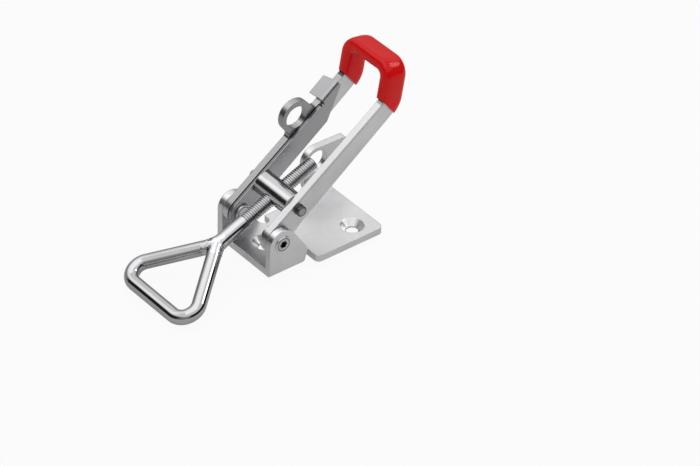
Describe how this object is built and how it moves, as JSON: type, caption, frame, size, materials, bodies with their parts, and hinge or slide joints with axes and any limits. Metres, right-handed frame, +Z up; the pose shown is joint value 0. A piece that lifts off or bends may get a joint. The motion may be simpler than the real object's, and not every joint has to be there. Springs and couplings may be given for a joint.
{
  "type": "toggle latch",
  "caption": "Steel over-centre toggle latch: bent base plate with padlock tang, U-shaped lever with dipped grip, threaded draw bar with triangular eye, and safety catch.",
  "frame": {"origin": "on the base plate's bottom face, straight below the lever pivots, midway between the two ears", "axes": "+X along the latch from the lever pivots towards the flange and the grip, +Y towards the padlock tang and the safety catch, +Z up from the surface that the base is screwed to"},
  "size_m": [0.1543, 0.057, 0.1031],
  "materials": {
    "zinc_plated_sheet": "bright zinc, soft sheen",
    "zinc_plated_turned": "bright zinc, fine turning lines",
    "zinc_plated_wire": "bright zinc, smooth drawn wire",
    "red_dipped_grip": "glossy dipped PVC"
  },
  "bodies": {
    "base": {"base_plate": "zinc_plated_sheet", "pivot_rivet_near": "zinc_plated_turned", "pivot_rivet_far": "zinc_plated_turned", "spacer_washer": "zinc_plated_turned"},
    "lever": {"lever_bar": "zinc_plated_sheet", "grip_sleeve": "red_dipped_grip"},
    "catch": {"safety_catch": "zinc_plated_sheet"},
    "cross_pin": {"trunnion": "zinc_plated_turned"},
    "draw": {"draw_bar": "zinc_plated_wire"}
  },
  "joints": [
    {"name": "lever_pivot", "type": "hinge", "parent": "base", "child": "lever", "pos_m": [0, 0, 0.0188], "axis": [0, -1, 0], "range_deg": [-43.8, 75]},
    {"name": "catch_pivot", "type": "hinge", "parent": "lever", "child": "catch", "pos_m": [0, 0, 0.0188], "axis": [0, -1, 0], "range_deg": [0, 6]},
    {"name": "trunnion_turn", "type": "hinge", "parent": "lever", "child": "cross_pin", "pos_m": [0.0138, 0, 0.03224], "axis": [0, -1, 0], "range_deg": [-40, 23.5]},
    {"name": "draw_bar_screw", "type": "slide", "parent": "cross_pin", "child": "draw", "axis": [0.9272, 0, 0.3746], "range_m": [-0.015, 0.01]}
  ],
  "couplings": [
    {"joint": "trunnion_turn", "follows": "lever_pivot", "ratio": -0.53}
  ]
}
